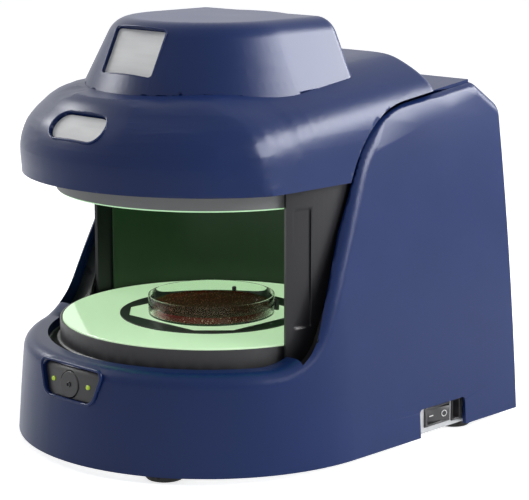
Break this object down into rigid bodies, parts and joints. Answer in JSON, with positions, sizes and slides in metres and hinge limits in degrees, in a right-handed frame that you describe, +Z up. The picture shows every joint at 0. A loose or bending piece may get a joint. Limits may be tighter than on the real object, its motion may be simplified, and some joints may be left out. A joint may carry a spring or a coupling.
{
  "type": "colony counter",
  "caption": "Benchtop colony counter: hooded housing, two curved sliding doors, lit stage for a round dish, camera turret above.",
  "frame": {"origin": "centre of the bounding box in plan, at the bottom of the feet", "axes": "+Z up; -Y towards the operator, so the open front faces -Y; +X to the operator's right"},
  "size_m": [0.276, 0.316, 0.295],
  "materials": {
    "blue_shell": "satin moulded plastic with a fine grain",
    "black_plastic": "satin black moulded plastic",
    "smoked_door": "dark smooth sheet",
    "steel_sheet": "bent and brushed sheet",
    "satin_plate": "brushed plate",
    "rubber_black": "matt rubber",
    "screw_steel": "bright zinc",
    "grey_plastic": "grey moulded plastic",
    "opal_white": "opal diffusing acrylic",
    "board_green": "circuit board",
    "led_green": "green light-emitting parts",
    "clear_glass": "clear",
    "agar_red": "set blood agar",
    "contact_brass": "plated contacts"
  },
  "bodies": {
    "housing": {"body_shell": "blue_shell", "hood": "blue_shell", "turret": "blue_shell", "deck_panel": "blue_shell", "base_plate": "steel_sheet", "feet": "rubber_black", "base_screws": "screw_steel", "stage_drum": "black_plastic", "door_track": "black_plastic", "stage_light_board": "board_green", "stage_leds": "led_green", "diffuser_disc": "opal_white", "mask_ring": "opal_white", "dish_pins": "black_plastic", "chamber_wall": "black_plastic", "left_liner": "black_plastic", "right_liner": "black_plastic", "lamp_ring": "grey_plastic", "lamp_diffuser": "opal_white", "lamp_collar": "grey_plastic", "lamp_board": "board_green", "lamp_leds": "led_green", "hood_underside": "black_plastic", "name_plate": "satin_plate", "turret_plate": "satin_plate", "camera_bracket": "steel_sheet", "lens_barrel": "black_plastic", "lens_glass": "clear_glass", "camera_body": "black_plastic", "spine_frame": "steel_sheet", "board_standoffs": "screw_steel", "control_board": "board_green", "control_fascia": "black_plastic", "button_board": "board_green", "panel_leds": "led_green", "switch_bracket": "satin_plate", "switch_housing": "black_plastic", "power_inlet": "black_plastic", "inlet_contacts": "contact_brass"},
    "left_door": {"left_door": "smoked_door"},
    "right_door": {"right_door": "smoked_door"},
    "dish": {"petri_dish": "clear_glass", "agar": "agar_red"},
    "button": {"start_button": "black_plastic"},
    "rocker": {"power_rocker": "black_plastic"}
  },
  "joints": [
    {"name": "left_door_slide", "type": "hinge", "parent": "housing", "child": "left_door", "pos_m": [0, -0.02, 0.1287], "axis": [0, 0, 1], "range_deg": [0, 84]},
    {"name": "right_door_slide", "type": "hinge", "parent": "housing", "child": "right_door", "pos_m": [0, -0.02, 0.1287], "axis": [0, 0, -1], "range_deg": [-12, 71]},
    {"name": "dish_lift", "type": "slide", "parent": "housing", "child": "dish", "axis": [0, 0, 1], "range_m": [0, 0.06]},
    {"name": "start_press", "type": "slide", "parent": "housing", "child": "button", "axis": [0, 0.9903, -0.1392], "range_m": [0, 0.0012], "stiffness_N_per_m": 400},
    {"name": "power_rock", "type": "hinge", "parent": "housing", "child": "rocker", "pos_m": [0.1298, 0.0735, 0.016], "axis": [0, 0, 1], "range_deg": [0, 16]}
  ]
}
